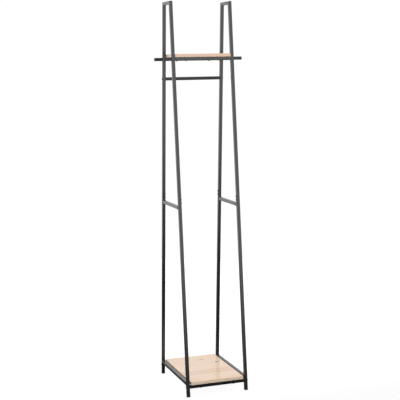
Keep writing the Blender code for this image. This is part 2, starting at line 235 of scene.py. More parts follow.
def dark_finish(name, colour, edge_colour, roughness, grain_height, rub_and_highlight=0.22, dust=0.1,
                metallic=0.0, specular=0.5, lumps=0.35):
    """A near-black coated surface with grit, edges brightened partly by rubbing and partly by a painted
    highlight, and a little dust.
    """
    material = bpy.data.materials.new(name)
    material.use_nodes = True
    tree = material.node_tree
    shader = tree.nodes["Principled BSDF"]
    where = add_node(tree, "TexCoord").outputs["Object"]
    grit = place_group(tree, grit_tree, {"Vector": where, "Coarse Lumps": lumps})
    edge_wear_and_highlight = place_group(tree, edge_wear_and_highlight_tree, {"Vector": where, "Amount": rub_and_highlight})["Mask"]
    dusty = place_group(tree, dust_tree, {"Vector": where, "Amount": dust})["Mask"]
    darker = [(1 - TONE_MOTTLE) * channel for channel in colour[:3]] + [1.0]
    lighter = [(1 + TONE_MOTTLE) * channel for channel in colour[:3]] + [1.0]
    body = blend_colours(tree, spread(tree, grit["Mottle"], 0.3, 0.7), darker, lighter)
    # The edges are lightened here: partly rubbed coat, partly painted highlight.
    worn_and_highlit = blend_colours(tree, edge_wear_and_highlight, body, edge_colour)
    tree.links.new(blend_colours(tree, dusty, worn_and_highlit, DUST_COLOUR), shader.inputs["Base Color"])
    gloss = spread(tree, grit["Mottle"], 0.25, 0.75, roughness - GLOSS_MOTTLE, roughness + GLOSS_MOTTLE)
    gloss = calc(tree, "ADD", gloss, calc(tree, "MULTIPLY", dusty, DUST_DULLING))
    tree.links.new(gloss, shader.inputs["Roughness"])
    bump = add_node(tree, "Bump",
                    {"Strength": GRIT_STRENGTH, "Distance": grain_height, "Height": grit["Height"]})
    tree.links.new(bump.outputs[0], shader.inputs["Normal"])
    shader.inputs["Metallic"].default_value = metallic
    shader.inputs["Specular IOR Level"].default_value = specular
    return material


POWDER_COAT = dark_finish("black_powder_coat", (0.0085, 0.009, 0.0088, 1.0), (0.030, 0.031, 0.029, 1.0),
                          roughness=0.29, grain_height=0.05 * MILLIMETRE, specular=0.88)
# A darker copy of the frame coat for the bolted-on rails and hooks: its darker colour is painted shade.
SHADED_LOOSE_PART_COAT = dark_finish("black_powder_coat_loose_parts_painted_shade", (0.007, 0.0073, 0.007, 1.0),
                              (0.025, 0.026, 0.025, 1.0), roughness=0.31, grain_height=0.05 * MILLIMETRE,
                              specular=0.50)
WELD_COAT = dark_finish("powder_coat_over_weld", (0.0085, 0.009, 0.0088, 1.0), (0.035, 0.036, 0.034, 1.0),
                        roughness=0.30, grain_height=0.12 * MILLIMETRE, lumps=1.2, specular=0.80)
PLASTIC = dark_finish("black_moulded_plastic", (0.010, 0.010, 0.011, 1.0), (0.03, 0.03, 0.032, 1.0),
                      roughness=0.50, grain_height=0.03 * MILLIMETRE, rub_and_highlight=0.4, dust=0.08)
BOLT_BLACK = dark_finish("blackened_bolt_steel", (0.005, 0.0048, 0.0046, 1.0), (0.06, 0.055, 0.05, 1.0),
                         roughness=0.42, grain_height=0.015 * MILLIMETRE, rub_and_highlight=0.25, dust=0.03, specular=0.30)
print("dark finishes:", POWDER_COAT.name, SHADED_LOOSE_PART_COAT.name, WELD_COAT.name, PLASTIC.name, BOLT_BLACK.name)

# %% [markdown]
# ## Varnished wood
#
# The boards are pale, pinkish solid wood with the grain along X, under a clear satin varnish that
# mirrors the legs softly. Wood is grown, so the pattern is made the way it grows: rings about
# a long axis below the board, cut through by the board's faces. The same rings show as long
# streaks on the top and as arcs on the sawn ends, which an image stretched over a box never does.
#
# The group works in the board's own coordinates. It bends them with slow noise, takes the distance
# from the tree's heart as the ring position, and adds pores, glued staves and a few small knots.

# %% The wood group
wood_tree, wood_in, wood_out = new_group(
    "grown_wood",
    [("Vector", "Vector", None), ("Heart", "Vector", (0.0, 0.06, -0.11)), ("Ring Width", "Float", 0.0036),
     ("Stave Width", "Float", 0.067)],
    [("Ring", "Float"), ("Pores", "Float"), ("Stave", "Float"), ("Cloud", "Float")])


STAVES_BEFORE = 20.5       # keeps the stave numbers positive, and a stave centred on the board


def wood_pattern(tree, source):
    """Rings, pores and stave tones from a place in the board."""
    place = source["Vector"]
    across = add_node(tree, "SeparateXYZ", {0: place}).outputs
    stave_position = calc(tree, "DIVIDE", across["Y"], source["Stave Width"])
    stave_number = calc(tree, "FLOOR", calc(tree, "ADD", stave_position, STAVES_BEFORE))
    stave_tone = add_node(tree, "TexWhiteNoise", {"W": stave_number}, noise_dimensions="1D").outputs
    # Each stave is cut from another spot in the tree, so its rings are shifted.
    sideways = calc(tree, "MULTIPLY", stave_tone["Value"], 0.05)
    down = calc(tree, "MULTIPLY", stave_tone["Value"], -0.04)
    shifted = add_node(tree, "CombineXYZ", {"X": 0.0, "Y": sideways, "Z": down}).outputs[0]
    moved = add_node(tree, "VectorMath", {0: place, 1: shifted}, operation="ADD").outputs[0]
    sway = noise(tree, moved, 0.055, detail=2.0, stretch=(3.5, 1.0, 1.0))
    from_heart = add_node(tree, "VectorMath", {0: moved, 1: source["Heart"]}, operation="SUBTRACT").outputs[0]
    flat = add_node(tree, "VectorMath", {0: from_heart, 1: (0.04, 1.0, 1.0)}, operation="MULTIPLY").outputs[0]
    radius = add_node(tree, "VectorMath", {0: flat}, operation="LENGTH").outputs["Value"]
    swayed = calc(tree, "ADD", radius, calc(tree, "MULTIPLY", sway, 0.022))
    turns = calc(tree, "DIVIDE", swayed, source["Ring Width"])
    ring = calc(tree, "FRACT", turns)
    # Pale early wood darkens slowly into late wood, and then stops at once.
    late = calc(tree, "POWER", ring, 3.0)
    fresh = spread(tree, ring, 0.0, 0.10, 1.0, 0.0)
    pores = noise(tree, place, 0.7 * MILLIMETRE, detail=2.0, roughness=0.6, stretch=(16.0, 1.0, 1.0))
    cloud = noise(tree, place, 0.030, detail=3.0, roughness=0.55, stretch=(4.0, 1.0, 1.0))
    return calc(tree, "MAXIMUM", late, fresh), pores, stave_tone["Value"], cloud


for label, value in zip(("Ring", "Pores", "Stave", "Cloud"), wood_pattern(wood_tree, wood_in)):
    wood_tree.links.new(value, wood_out.inputs[label])
print("group:", wood_tree.name)

# %% [markdown]
# A knot is where a branch grew through the board, a small dark oval that the fibres bend round.
# Each is a distance from a chosen point, squeezed so that it is longer along the grain, and put
# out as a mask that darkens the wood.

# %% Wood materials
RING_SHARE = 0.45          # how far each effect pulls the colour of the wood
WARM_SHARE = 0.95
STAVE_SHARE = 0.38
FRONT_BAND_SHARE = 0.75
PORE_SHARE = 0.22
END_GRAIN_SHARE = 0.30
FRONT_BAND_FADE = 0.008
VARNISH = {"Specular IOR Level": 0.25, "Coat Weight": 0.45, "Coat Roughness": 0.16}
PALE_WOOD = (0.900, 0.715, 0.590, 1.0)
LATE_WOOD = (0.660, 0.430, 0.310, 1.0)
WARM_WOOD = (0.900, 0.655, 0.450, 1.0)
# A lighter colour for the base board's front and rear faces, painted light.
FRONT_FACE_PAINTED_LIGHT = (0.880, 0.720, 0.560, 1.0)
KNOT_BROWN = (0.240, 0.120, 0.060, 1.0)


def knot_mask(tree, where, centre, along, across, turned):
    """1 in the middle of a knot and 0 outside its oval."""
    shifted = add_node(tree, "VectorMath", {0: where, 1: centre}, operation="SUBTRACT").outputs[0]
    oval = add_node(tree, "Mapping", {"Vector": shifted, "Rotation": (0.0, 0.0, turned),
                                      "Scale": (1.0 / along, 1.0 / across, 0.4 / across)}).outputs[0]
    rough = noise(tree, where, 0.004, detail=3.0)
    away = add_node(tree, "VectorMath", {0: oval}, operation="LENGTH").outputs["Value"]
    away = calc(tree, "ADD", away, calc(tree, "MULTIPLY", rough, 0.5))
    return spread(tree, away, 1.25, 0.45)


def varnished_wood(name, centre, knots, heart, warm_front, edge_colour, edge_share):
    """Pale wood centred on a board, with its knots given as (x, y, along, across, turn, depth)."""
    material = bpy.data.materials.new(name)
    material.use_nodes = True
    tree = material.node_tree
    shader = tree.nodes["Principled BSDF"]
    world_place = add_node(tree, "TexCoord").outputs["Object"]
    place = add_node(tree, "Mapping", {"Vector": world_place, "Location": [-c for c in centre]}).outputs[0]
    wood = place_group(tree, wood_tree, {"Vector": place, "Heart": heart})
    rings = calc(tree, "MULTIPLY", wood["Ring"], RING_SHARE)
    colour = blend_colours(tree, rings, PALE_WOOD, LATE_WOOD)
    warm = spread(tree, wood["Cloud"], 0.42, 0.58, 0.0, WARM_SHARE)
    colour = blend_colours(tree, warm, colour, WARM_WOOD)
    darker_stave = spread(tree, wood["Stave"], 0.0, 1.0, 0.0, STAVE_SHARE)
    colour = blend_colours(tree, darker_stave, colour, LATE_WOOD)
    front_reach = add_node(tree, "SeparateXYZ", {0: place}).outputs["Y"]
    front_band = spread(tree, front_reach, warm_front + FRONT_BAND_FADE, warm_front, 0.0, FRONT_BAND_SHARE)
    colour = blend_colours(tree, front_band, colour, WARM_WOOD)
    dark_pores = spread(tree, wood["Pores"], 0.62, 0.78, 0.0, PORE_SHARE)
    colour = blend_colours(tree, dark_pores, colour, LATE_WOOD)
    for x, y, along, across, turned, depth in knots:
        mask = knot_mask(tree, place, (x, y, 0.0), along, across, turned)
        colour = blend_colours(tree, calc(tree, "MULTIPLY", mask, depth), colour, KNOT_BROWN)
    facing = add_node(tree, "NewGeometry").outputs["Normal"]
    sideways = calc(tree, "ABSOLUTE", add_node(tree, "SeparateXYZ", {0: facing}).outputs["X"])
    end_grain = spread(tree, sideways, 0.6, 0.95, 0.0, END_GRAIN_SHARE)
    colour = blend_colours(tree, end_grain, colour, LATE_WOOD)
    # Faces that look forward or back blend toward edge_colour: a lighter colour on the base board, painted
    # light, and a darker one on the shelf.
    forward = calc(tree, "ABSOLUTE", add_node(tree, "SeparateXYZ", {0: facing}).outputs["Y"])
    colour = blend_colours(tree, spread(tree, forward, 0.75, 0.98, 0.0, edge_share), colour, edge_colour)
    tree.links.new(colour, shader.inputs["Base Color"])
    gloss = spread(tree, wood["Pores"], 0.3, 0.8, 0.45, 0.60)
    tree.links.new(gloss, shader.inputs["Roughness"])
    for label, value in VARNISH.items():
        shader.inputs[label].default_value = value
    relief = calc(tree, "SUBTRACT", calc(tree, "MULTIPLY", wood["Ring"], 0.4), wood["Pores"])
    bump = add_node(tree, "Bump", {"Strength": 0.35, "Distance": 0.04 * MILLIMETRE, "Height": relief})
    tree.links.new(bump.outputs[0], shader.inputs["Normal"])
    return material


def box_middle(node):
    low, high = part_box(node)
    return (low + high) / 2


BASE_WOOD = varnished_wood(
    "varnished_wood_base", box_middle("base_board"), heart=(0.0, 0.05, -0.12), warm_front=-0.172,
    edge_colour=FRONT_FACE_PAINTED_LIGHT, edge_share=0.8,
    knots=[(0.030, 0.126, 0.026, 0.008, 0.15, 0.85), (0.092, 0.066, 0.014, 0.012, 0.0, 0.95),
           (0.016, -0.132, 0.016, 0.009, 0.2, 0.5)])
# The shelf's front and rear faces are blended half way to the late wood colour, so they come out darker.
SHELF_WOOD = varnished_wood(
    "varnished_wood_shelf", box_middle("shelf_board"), heart=(0.0, -0.03, -0.10), warm_front=-0.2,
    edge_colour=LATE_WOOD, edge_share=0.5,
    knots=[(-0.055, 0.022, 0.011, 0.006, 0.1, 0.5)])
print("wood:", BASE_WOOD.name, SHELF_WOOD.name)

# %% [markdown]
# ## Square tube
#
# Cold-formed square tube has softly rounded corners that catch a thin line of light along its
# whole length. One tube is a cube stretched to a bar with its four long edges bevelled in five
# steps. Both ends are inset by the wall and deleted, and the rims they leave are bridged, which
# gives a hollow tube with a real wall. A weighted normal modifier keeps the flats flat.
#
# An end can be finished in three ways: plain, with a small chamfer where two sections meet at
# a seam, or slightly swollen where a mitre was welded and ground smooth.

# %% Tube helpers
WALL = 1.2 * MILLIMETRE
CORNER = 2.0 * MILLIMETRE
CORNER_STEPS = 5
PLAIN_END = None
SEAM_END = (1.2 * MILLIMETRE, -0.75 * MILLIMETRE)     # reach along the tube, growth of its outline
WELDED_END = (1.3 * MILLIMETRE, 0.18 * MILLIMETRE)
ALONG_X = Matrix.Rotation(math.pi / 2, 4, "Y")
MADE = []


def mark_edges(mesh_builder, half_sizes, corner):
    """Store how far into a rounded corner each vertex lies, in the attribute `edge`."""
    layer = mesh_builder.verts.layers.float.new("edge")
    for vert in mesh_builder.verts:
        into = [max(0.0, min(1.0, (abs(c) - half + corner) / corner))
                for c, half in zip(vert.co, half_sizes) if half]
        pairs = sum(a * b for i, a in enumerate(into) for b in into[i + 1:])
        vert[layer] = min(1.0, 2.0 * pairs)


def square_bar(width, length, corner=CORNER, steps=CORNER_STEPS):
    """A square bar along Z, centred on the origin, with rounded long edges."""
    bar = bmesh.new()
    bmesh.ops.create_cube(bar, size=1.0)
    bmesh.ops.scale(bar, vec=(width, width, length), verts=bar.verts)
    long_edges = [e for e in bar.edges if abs(e.verts[0].co.z - e.verts[1].co.z) > length / 2]
    bmesh.ops.bevel(bar, geom=long_edges, offset=corner, segments=steps, affect="EDGES",
                    profile=0.5, material=-1)
    bar.normal_update()
    return bar


def shape_end(bar, width, at, finish):
    """Chamfer or swell the outline of one end of a bar."""
    reach, growth = finish
    inward = -1.0 if at > 0 else 1.0
    everything = list(bar.verts) + list(bar.edges) + list(bar.faces)
    bmesh.ops.bisect_plane(bar, geom=everything, plane_co=(0, 0, at + inward * reach), plane_no=(0, 0, 1))
    rim = [vert for vert in bar.verts if abs(vert.co.z - at) < TOUCHING]
    factor = (width / 2 + growth) / (width / 2)
    bmesh.ops.scale(bar, vec=(factor, factor, 1.0), verts=rim)


def hollow(bar, wall):
    """Turn a bar into a tube: open both ends and join their rims through the inside."""
    bar.normal_update()
    ends = [face for face in bar.faces if abs(face.normal.z) > 0.9 and len(face.verts) > 4]
    bmesh.ops.inset_individual(bar, faces=ends, thickness=wall, use_even_offset=True)
    rims = {edge for face in ends for edge in face.edges}
    bmesh.ops.delete(bar, geom=ends, context="FACES_ONLY")
    bmesh.ops.bridge_loops(bar, edges=list(rims))
    bmesh.ops.recalc_face_normals(bar, faces=bar.faces)


def finish_piece(name, mesh_builder, material, stands_for=(), matrix=None,
                 even_shading=True, crease=50):
    """Put a bmesh into an object of the hall tree, placed in its mesh."""
    if matrix is not None:
        bmesh.ops.transform(mesh_builder, matrix=matrix, verts=mesh_builder.verts)
    mesh = bpy.data.meshes.new(name)
    mesh_builder.to_mesh(mesh)
    mesh_builder.free()
    mesh.materials.append(material)
    mesh.shade_smooth()
    mesh.set_sharp_from_angle(angle=math.radians(crease))
    piece = bpy.data.objects.new(name, mesh)
    bpy.context.scene.collection.objects.link(piece)
    if even_shading:
        piece.modifiers.new("even_shading", "WEIGHTED_NORMAL").keep_sharp = True
    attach(piece, "root")
    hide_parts(*stands_for)
    MADE.append(name)


def tube_mesh(length, low_end=PLAIN_END, high_end=PLAIN_END, low_slope=0.0, high_slope=0.0):
    """A hollow square tube along Z whose end planes rise by their slopes along Y."""
    bar = square_bar(TUBE, length)
    mark_edges(bar, (HALF_TUBE, HALF_TUBE, None), CORNER)
    for at, finish in ((-length / 2, low_end), (length / 2, high_end)):
        if finish:
            shape_end(bar, TUBE, at, finish)
    hollow(bar, WALL)
    for vert in bar.verts:
        vert.co.z += (high_slope if vert.co.z > 0.0 else low_slope) * vert.co.y
    return bar


print("tube corners of {:.1f} mm in {} steps".format(CORNER * 1000, CORNER_STEPS))

# %% [markdown]
# ## The side frames
#
# Each side frame is an A without its point: two leaning legs in two sections, a short top rung
# mitred to both, a rung in the middle and a rail near the floor. Every member lies in the plane
# of its frame, so it is fully given by two points (y, z) on its centre line and the planes that
# cut its ends. Level cuts belong at the floor and the seam, and the two butting rungs are cut to
# the lean of the legs.

# %% Side frames
LEVEL = (0.0, 1.0)
WELD_OVERLAP = 0.1 * MILLIMETRE


def frame_member(name, side, low, high, low_normal, high_normal, low_end=PLAIN_END, high_end=PLAIN_END):
    """A tube between two points (y, z) of a side frame, cut at its ends by planes with these normals."""
    run = Vector(high) - Vector(low)
    angle = math.atan2(-run.x, run.y)
    slopes = []
    for normal in (low_normal, high_normal):
        across = math.cos(angle) * normal[0] + math.sin(angle) * normal[1]
        along = math.cos(angle) * normal[1] - math.sin(angle) * normal[0]
        slopes.append(-across / along)
    middle = (Vector(low) + Vector(high)) / 2
    matrix = Matrix.Translation((side * HALF_PITCH, middle.x, middle.y)) @ Matrix.Rotation(angle, 4, "X")
    mesh_builder = tube_mesh(run.length, low_end, high_end, *slopes)
    finish_piece(name + "_tube", mesh_builder, POWDER_COAT, [name], matrix)


def mitre_normal(leg):
    """Normal of the plane that halves the corner between a leg and the top rung."""
    down_leg = Vector((leg * math.sin(LEAN), -math.cos(LEAN)))
    return tuple(Vector((-leg, 0.0)) - down_leg)


for side_name, side in SIDES.items():
    for leg_name, leg in LEGS.items():
        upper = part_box("{}_upper_{}_leg".format(side_name, leg_name))[0].z
        frame_member("{}_upper_{}_leg".format(side_name, leg_name), side,
                     (leg * leg_offset(upper), upper), (leg * leg_offset(TOP_LINE), TOP_LINE),
                     LEVEL, mitre_normal(leg), SEAM_END, WELDED_END)
        frame_member("{}_lower_{}_leg".format(side_name, leg_name), side,
                     (leg * leg_offset(LEG_FOOT), LEG_FOOT), (leg * leg_offset(SEAM), SEAM),
                     LEVEL, LEVEL, PLAIN_END, SEAM_END)
    end = leg_offset(TOP_LINE)
    frame_member(side_name + "_top_rung", side, (-end, TOP_LINE), (end, TOP_LINE),
                 mitre_normal(-1), mitre_normal(1), WELDED_END, WELDED_END)
    for rung in ("mid_rung", "base_side_rail"):
        height = middle_height("{}_{}".format(side_name, rung))
        end = leg_offset(height) - HALF_CUT + WELD_OVERLAP
        frame_member("{}_{}".format(side_name, rung), side, (-end, height), (end, height),
                     (math.cos(LEAN), -math.sin(LEAN)), (math.cos(LEAN), math.sin(LEAN)))
print("side frame members:", len(MADE))

# %% [markdown]
# ## Weld beads
#
# Where a rung butts against a leg, a bead of weld runs round it. The bead starts as a thin square
# slab a little wider than the tube. Its face is inset twice, each time lifted less far, which
# leaves a small fillet. The slab's own middle is opened so that the bead is a ring, and fine
# ripples along it are moved into its vertices, because a bead is laid down drop by drop.

# %% Weld beads
BEAD_REACH = 1.5 * MILLIMETRE      # along the rung and out over the leg
BEAD_BURIED = 0.20 * MILLIMETRE    # below the surfaces that it joins
RIPPLE = 0.22 * MILLIMETRE
RIPPLE_PITCH = 1.9 * MILLIMETRE
RIPPLE_CUTS = 26


def weld_bead(name, matrix):
    """A rippled fillet ring round a square tube that starts at z = 0 and grows along +Z."""
    width = TUBE + 2 * BEAD_REACH
    slab = square_bar(width, BEAD_BURIED, CORNER + BEAD_REACH)
    top = [face for face in slab.faces if face.normal.z > 0.9]
    for share, lift in ((0.42, 0.62), (0.46, 0.28), (0.12, 0.10)):
        bmesh.ops.inset_region(slab, faces=top, thickness=share * BEAD_REACH, depth=lift * BEAD_REACH,
                               use_even_offset=True)
    bmesh.ops.inset_region(slab, faces=top, thickness=BEAD_BURIED, use_even_offset=True)
    slab.normal_update()
    bottom = [face for face in slab.faces if face.normal.z < -0.9 and len(face.verts) > 4]
    bmesh.ops.inset_region(slab, faces=bottom, thickness=BEAD_REACH + BEAD_BURIED, use_even_offset=True)
    rims = {edge for face in top + bottom for edge in face.edges}
    bmesh.ops.delete(slab, geom=top + bottom, context="FACES_ONLY")
    bmesh.ops.bridge_loops(slab, edges=list(rims))
    flats = [edge for edge in slab.edges if edge.calc_length() > 0.6 * TUBE]
    bmesh.ops.subdivide_edges(slab, edges=flats, cuts=RIPPLE_CUTS, use_grid_fill=True)
    bmesh.ops.recalc_face_normals(slab, faces=slab.faces)
    mark_edges(slab, (width / 2, width / 2, None), CORNER)
    for vert in slab.verts:
        if vert.co.z > BEAD_BURIED and max(abs(vert.co.x), abs(vert.co.y)) > HALF_TUBE + BEAD_BURIED:
            along = vert.co.x if abs(vert.co.y) > abs(vert.co.x) else vert.co.y
            wave = RIPPLE * math.sin(2 * math.pi * along / RIPPLE_PITCH)
            vert.co += wave * Vector((vert.co.x, vert.co.y, 0.0)).normalized()
    finish_piece(name, slab, WELD_COAT, matrix=matrix, even_shading=False)


for side_name, side in SIDES.items():
    for rung in ("mid_rung", "base_side_rail"):
        height = middle_height("{}_{}".format(side_name, rung))
        for leg_name, leg in LEGS.items():
            at = leg * (leg_offset(height) - HALF_CUT)
            toward_middle = Matrix.Rotation(leg * math.pi / 2, 4, "X")
            lean = Matrix.Shear("XY", 4, (0.0, 0.0))
            lean[2][1] = -math.tan(LEAN)
            weld_bead("{}_{}_{}_weld".format(side_name, rung, leg_name),
                      Matrix.Translation((side * HALF_PITCH, at, height)) @ toward_middle @ lean)
print("weld beads:", sum(name.endswith("_weld") for name in MADE))

# %% [markdown]
# ## Rails and bars between the frames
#
# The two base rails, the two shelf bars and the hanging rail are plain lengths of the same tube.
# They butt against the inner faces of the frames and are held by bolts, so they have no bead.

# %% Cross rails
CROSS_RAILS = ("base_front_rail", "base_rear_rail", "shelf_front_bar", "shelf_rear_bar", "hanging_rail")
for name in CROSS_RAILS:
    low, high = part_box(name)
    matrix = Matrix.Translation((low + high) / 2) @ ALONG_X
    # The shelf bars keep the frame coat; the other rails get its darker copy, painted shade.
    coat = POWDER_COAT if name.startswith("shelf") else SHADED_LOOSE_PART_COAT
    finish_piece(name + "_tube", tube_mesh(high.x - low.x, SEAM_END, SEAM_END), coat,
                 [name], matrix)
print("cross rails:", len(CROSS_RAILS))

# %% [markdown]
# ## Hooks and their caps
#
# A hook is a stub of the same tube in line with a shelf bar. Its open end is closed with a pressed-in
# plastic cap whose front edge is rounded, and the cap's stem disappears into the tube.

# %% Hooks and caps
CAP_EDGE = 1.1 * MILLIMETRE
CAP_LIP = 0.6 * MILLIMETRE         # the slope between the rounded rim and the dished face
CAP_DISH = 0.25 * MILLIMETRE
CAP_SLIT = 0.15 * MILLIMETRE       # the shadow line between a tube and its cap
STEM_MARGIN = WALL + 0.3 * MILLIMETRE


def cap_mesh(flange, stem):
    """A cap with its outer face at the top and a stem that grows down, centred on its flange."""
    cap = square_bar(TUBE, flange)
    rim = [edge for edge in cap.edges if all(vert.co.z > 0.0 for vert in edge.verts)]
    bmesh.ops.bevel(cap, geom=rim, offset=CAP_EDGE, segments=4, affect="EDGES", profile=0.5, material=-1)
    cap.normal_update()
    face = [face for face in cap.faces if face.normal.z > 0.999]
    bmesh.ops.inset_region(cap, faces=face, thickness=CAP_LIP, depth=-CAP_DISH, use_even_offset=True)
    under = [face for face in cap.faces if face.normal.z < -0.9]
    bmesh.ops.inset_region(cap, faces=under, thickness=STEM_MARGIN, use_even_offset=True)
    pushed = bmesh.ops.extrude_face_region(cap, geom=under)
    bmesh.ops.delete(cap, geom=under, context="FACES_ONLY")
    moved = [item for item in pushed["geom"] if isinstance(item, bmesh.types.BMVert)]
    bmesh.ops.translate(cap, vec=(0.0, 0.0, -stem), verts=moved)
    mark_edges(cap, (HALF_TUBE, HALF_TUBE, flange / 2), CORNER)
    return cap


for side_name, side in SIDES.items():
    outward = Matrix.Rotation(side * math.pi / 2, 4, "Y")
    for leg_name in LEGS:
        name = "{}_{}_hook".format(side_name, leg_name)
        low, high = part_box(name)
        cap_low, cap_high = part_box(name + "_cap")
        mouth = high.x if side > 0 else -low.x
        tip = cap_high.x if side > 0 else -cap_low.x
        level = Vector((0.0, (low.y + high.y) / 2, (low.z + high.z) / 2))
        middle = level + Vector((side * (OUTER_FACE + mouth) / 2, 0.0, 0.0))
        # The hook tubes get the darker copy of the frame coat, painted shade.
        finish_piece(name + "_tube", tube_mesh(mouth - OUTER_FACE, SEAM_END, PLAIN_END), SHADED_LOOSE_PART_COAT,
                     [name], Matrix.Translation(middle) @ outward)
        flange = tip - mouth - CAP_SLIT
        stem = cap_high.x - cap_low.x - flange
        middle = level + Vector((side * (tip - flange / 2), 0.0, 0.0))
        finish_piece(name + "_end_cap", cap_mesh(flange, stem), PLASTIC,
                     [name + "_cap"], Matrix.Translation(middle) @ outward)
print("hooks and caps:", sum("_hook" in name for name in MADE))

# %% [markdown]
# ## Feet
#
# Each leg stands on a small black glide: a square flange under the tube and a stem that leans
# into it. The flange's lower edge is rounded, so that it slides over a carpet.

# %% Feet
FOOT_EDGE = 0.9 * MILLIMETRE


def foot_mesh(width, flange, stem, lean_shift):
    foot = square_bar(width, flange)
    rim = [edge for edge in foot.edges if all(vert.co.z < 0.0 for vert in edge.verts)]
    bmesh.ops.bevel(foot, geom=rim, offset=FOOT_EDGE, segments=4, affect="EDGES", profile=0.5, material=-1)
    foot.normal_update()
    top = [face for face in foot.faces if face.normal.z > 0.9]
    bmesh.ops.inset_region(foot, faces=top, thickness=STEM_MARGIN + (width - TUBE) / 2, use_even_offset=True)
    pushed = bmesh.ops.extrude_face_region(foot, geom=top)
    bmesh.ops.delete(foot, geom=top, context="FACES_ONLY")
    moved = [item for item in pushed["geom"] if isinstance(item, bmesh.types.BMVert)]
    bmesh.ops.translate(foot, vec=(0.0, lean_shift, stem), verts=moved)
    mark_edges(foot, (width / 2, width / 2, flange / 2), CORNER)
    return foot


for side_name, side in SIDES.items():
    for leg_name, leg in LEGS.items():
        name = "{}_{}_foot".format(side_name, leg_name)
        low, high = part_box(name)
        stem = high.z - LEG_FOOT
        where = Vector((side * HALF_PITCH, leg * leg_offset(LEG_FOOT), LEG_FOOT / 2))
        finish_piece(name + "_glide", foot_mesh(high.x - low.x, LEG_FOOT, stem, -leg * stem * math.tan(LEAN)),
                     PLASTIC, [name], Matrix.Translation(where))
print("feet:", sum(name.endswith("_glide") for name in MADE))

# %% [markdown]
# ## Bolts
#
# The visible bolts are button heads with a hexagon socket. A dome is a spun outline, and a socket
# could be cut from it with a Boolean, but bridging is cleaner: the dome is left open at its
# flat top, a hexagon is laid inside the opening with its sides divided until both loops have the
# same number of corners, the loops are bridged, and the hexagon is pushed down.

# %% Bolts
HEAD_RADIUS = 4.75 * MILLIMETRE
SHANK_RADIUS = 2.5 * MILLIMETRE
SOCKET_FLATS = 3.0 * MILLIMETRE
SOCKET_DEPTH = 1.5 * MILLIMETRE
SPIN_STEPS = 24
DOME_DEGREES = (62, 48, 34, 20, 8)


def bolt_mesh(head, shank):
    """A button-head bolt: its head above z = 0 and its shank below."""
    bolt = bmesh.new()
    rise = head / math.sin(math.radians(DOME_DEGREES[0]))
    turns = [math.radians(degrees) for degrees in DOME_DEGREES]
    outline = [(HEAD_RADIUS * math.cos(turn), rise * math.sin(turn)) for turn in turns]
    outline += [(HEAD_RADIUS, 0.0), (SHANK_RADIUS, 0.0), (SHANK_RADIUS, -shank)]
    points = [bolt.verts.new((radius, 0.0, height)) for radius, height in outline]
    edges = [bolt.edges.new(pair) for pair in zip(points, points[1:])]
    bmesh.ops.spin(bolt, geom=points + edges, cent=(0, 0, 0), axis=(0, 0, 1), angle=2 * math.pi,
                   steps=SPIN_STEPS, use_merge=True)
    shank_rim = [edge for edge in bolt.edges if all(vert.co.z < -shank + TOUCHING for vert in edge.verts)]
    bmesh.ops.holes_fill(bolt, edges=shank_rim, sides=0)
    head_rim = [edge for edge in bolt.edges if all(vert.co.z > head - TOUCHING for vert in edge.verts)]
    made = bmesh.ops.create_circle(bolt, cap_ends=False, segments=6, radius=SOCKET_FLATS / math.sqrt(3),
                                   matrix=Matrix.Translation((0, 0, head)))
    sides = list({edge for vert in made["verts"] for edge in vert.link_edges})
    bmesh.ops.subdivide_edges(bolt, edges=sides, cuts=SPIN_STEPS // 6 - 1)
    hexagon = [edge for edge in bolt.edges
               if all(v.co.z > head - TOUCHING and v.co.xy.length < SOCKET_FLATS * 0.6 for v in edge.verts)]
    bmesh.ops.bridge_loops(bolt, edges=head_rim + hexagon)
    sunk = bmesh.ops.extrude_edge_only(bolt, edges=hexagon)
    floor = [item for item in sunk["geom"] if isinstance(item, bmesh.types.BMVert)]
    bmesh.ops.translate(bolt, vec=(0, 0, -SOCKET_DEPTH), verts=floor)
    floor_rim = [item for item in sunk["geom"] if isinstance(item, bmesh.types.BMEdge)]
    bmesh.ops.holes_fill(bolt, edges=floor_rim, sides=0)
    bmesh.ops.recalc_face_normals(bolt, faces=bolt.faces)
    layer = bolt.verts.layers.float.new("edge")
    for vert in bolt.verts:
        vert[layer] = 1.0 if vert.co.z > head - TOUCHING else 0.0
    return bolt


def bolt_piece(node, face, pointing):
    """A bolt in place of a CAD node. Its head lies on the plane x = face and points along X."""
    low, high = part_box(node)
    tip, end = (high.x, low.x) if pointing > 0 else (low.x, high.x)
    where = Vector((face, (low.y + high.y) / 2, (low.z + high.z) / 2))
    turned = Matrix.Rotation(pointing * math.pi / 2, 4, "Y")
    finish_piece(node + "_button_head", bolt_mesh(abs(tip - face), abs(face - end)), BOLT_BLACK,
                 [node], Matrix.Translation(where) @ turned, even_shading=False, crease=35)


for side_name, side in SIDES.items():
    for leg_name in LEGS:
        for place in ("low", "high"):
            bolt_piece("{}_{}_joint_bolt_{}".format(side_name, leg_name, place), side * INNER_FACE, -side)
    for rail in ("base_front_rail", "base_rear_rail", "hanging_rail"):
        bolt_piece("{}_{}_bolt".format(side_name, rail), side * OUTER_FACE, side)
print("bolts:", sum(name.endswith("_button_head") for name in MADE))

# %% [markdown]
# ## Boards
#
# Each board is one slab with eased edges. All twelve edges are bevelled together in four steps,
# so the corners close by themselves. The grain is in the material.

# %% Boards
BOARD_EDGE = 1.3 * MILLIMETRE


def board_piece(node, material):
    low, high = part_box(node)
    size = high - low
    slab = bmesh.new()
    bmesh.ops.create_cube(slab, size=1.0)
    bmesh.ops.scale(slab, vec=size, verts=slab.verts)
    bmesh.ops.bevel(slab, geom=list(slab.edges), offset=BOARD_EDGE, segments=4, affect="EDGES",
                    profile=0.5, material=-1)
    mark_edges(slab, size / 2, BOARD_EDGE)
    finish_piece(node + "_plank", slab, material, [node], Matrix.Translation((low + high) / 2))


